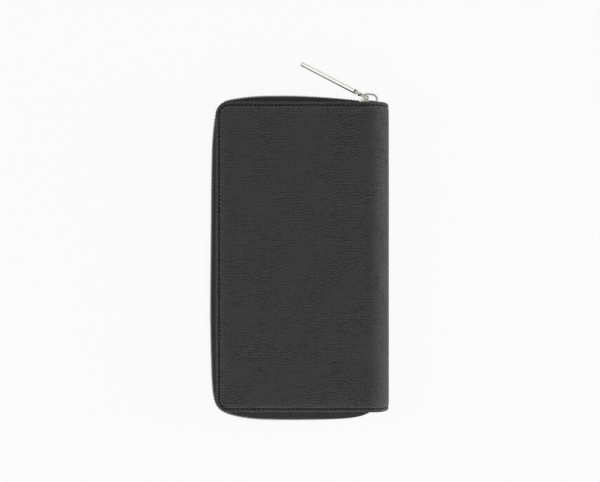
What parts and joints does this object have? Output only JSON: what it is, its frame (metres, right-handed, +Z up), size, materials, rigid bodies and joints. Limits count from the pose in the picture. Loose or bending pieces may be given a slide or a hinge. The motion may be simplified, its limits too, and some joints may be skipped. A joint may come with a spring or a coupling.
{
  "type": "long wallet",
  "caption": "Zip-around long wallet in black pebbled leather, closed and lying flat, with slider and bar pull, card panels, note compartments and a zipped coin pocket.",
  "frame": {"origin": "centre of the back cover's flat outer face, on the surface that the closed wallet lies on", "axes": "+Z up out of the front cover, +X towards the rolled spine, +Y towards the end where the zip starts"},
  "size_m": [0.1078, 0.2158, 0.024],
  "materials": {
    "cover_leather": "pebbled, low sheen",
    "panel_leather": "fine grain, matt",
    "gusset_leather": "thin, matt",
    "padding_foam": "thin foam",
    "stiffener_board": "fibre board",
    "lining_fabric": "fine twill",
    "pocket_lining": "fine grain, matt",
    "zip_tape": "woven tape",
    "zip_teeth": "black, satin",
    "coin_teeth": "black, satin",
    "nickel": "polished nickel plate"
  },
  "bodies": {
    "back": {"back_cover_leather": "cover_leather", "back_padding": "padding_foam", "back_board": "stiffener_board", "back_lining": "lining_fabric", "back_spine_lining": "lining_fabric", "back_card_base": "panel_leather", "back_card_slot_1": "panel_leather", "back_card_slot_2": "panel_leather", "back_card_slot_3": "panel_leather", "back_card_slot_4": "panel_leather", "back_gusset_top": "gusset_leather", "back_gusset_bottom": "gusset_leather", "back_zip_tape": "zip_tape", "back_zip_teeth": "zip_teeth", "back_zip_stops": "zip_teeth"},
    "middle": {"coin_pocket_back_wall": "pocket_lining", "coin_pocket_front_wall": "pocket_lining", "coin_pocket_edge_frame": "pocket_lining", "coin_zip_back_tape": "zip_tape", "coin_zip_front_tape": "zip_tape", "coin_zip_teeth": "coin_teeth", "coin_zip_stops": "coin_teeth"},
    "front": {"front_cover_leather": "cover_leather", "front_padding": "padding_foam", "front_board": "stiffener_board", "front_lining": "lining_fabric", "front_spine_lining": "lining_fabric", "front_card_base": "panel_leather", "front_card_slot_1": "panel_leather", "front_card_slot_2": "panel_leather", "front_card_slot_3": "panel_leather", "front_card_slot_4": "panel_leather", "front_gusset_top": "gusset_leather", "front_gusset_bottom": "gusset_leather", "front_zip_tape": "zip_tape", "front_zip_teeth": "zip_teeth", "front_zip_stops": "zip_teeth"},
    "slider": {"slider_body": "nickel", "slider_bail": "nickel"},
    "puller_link": {"puller_eye_link": "nickel", "puller_pin": "nickel"},
    "puller_bar": {"puller_bar": "nickel"},
    "coin_slider": {"coin_slider_body": "nickel", "coin_slider_bail": "nickel"},
    "coin_puller": {"coin_puller": "nickel"}
  },
  "joints": [
    {"name": "rear_opening", "type": "hinge", "parent": "back", "child": "middle", "pos_m": [0.0525, 0, 0.012], "axis": [0, 1, 0], "range_deg": [0, 25], "deforming": ["back_gusset_top", "back_gusset_bottom"]},
    {"name": "front_opening", "type": "hinge", "parent": "middle", "child": "front", "pos_m": [0.0525, 0, 0.012], "axis": [0, 1, 0], "range_deg": [0, 25], "deforming": ["front_gusset_top", "front_gusset_bottom"]},
    {"name": "slider_run", "type": "hinge", "parent": "back", "child": "slider", "pos_m": [-0.012, -0.3472, 0.012], "axis": [0, 0, 1], "range_deg": [0, 7.9], "deforming": ["back_zip_teeth", "front_zip_teeth"]},
    {"name": "puller_swing", "type": "hinge", "parent": "slider", "child": "puller_link", "pos_m": [0.0417, 0.09546, 0.012], "axis": [0, 0, 1], "range_deg": [-135, 0]},
    {"name": "puller_bar_lift", "type": "hinge", "parent": "puller_link", "child": "puller_bar", "pos_m": [0.03288, 0.09997, 0.012], "axis": [0.4555, 0.8902, 0], "range_deg": [0, 75]},
    {"name": "coin_slider_run", "type": "slide", "parent": "middle", "child": "coin_slider", "axis": [0, -1, 0], "range_m": [0, 0.15], "deforming": ["coin_zip_teeth"]},
    {"name": "coin_puller_flip", "type": "hinge", "parent": "coin_slider", "child": "coin_puller", "pos_m": [-0.04423, 0.075, 0.012], "axis": [0, 0, -1], "range_deg": [0, 45]}
  ],
  "couplings": [
    {"joint": "front_opening", "follows": "rear_opening", "ratio": 1}
  ]
}
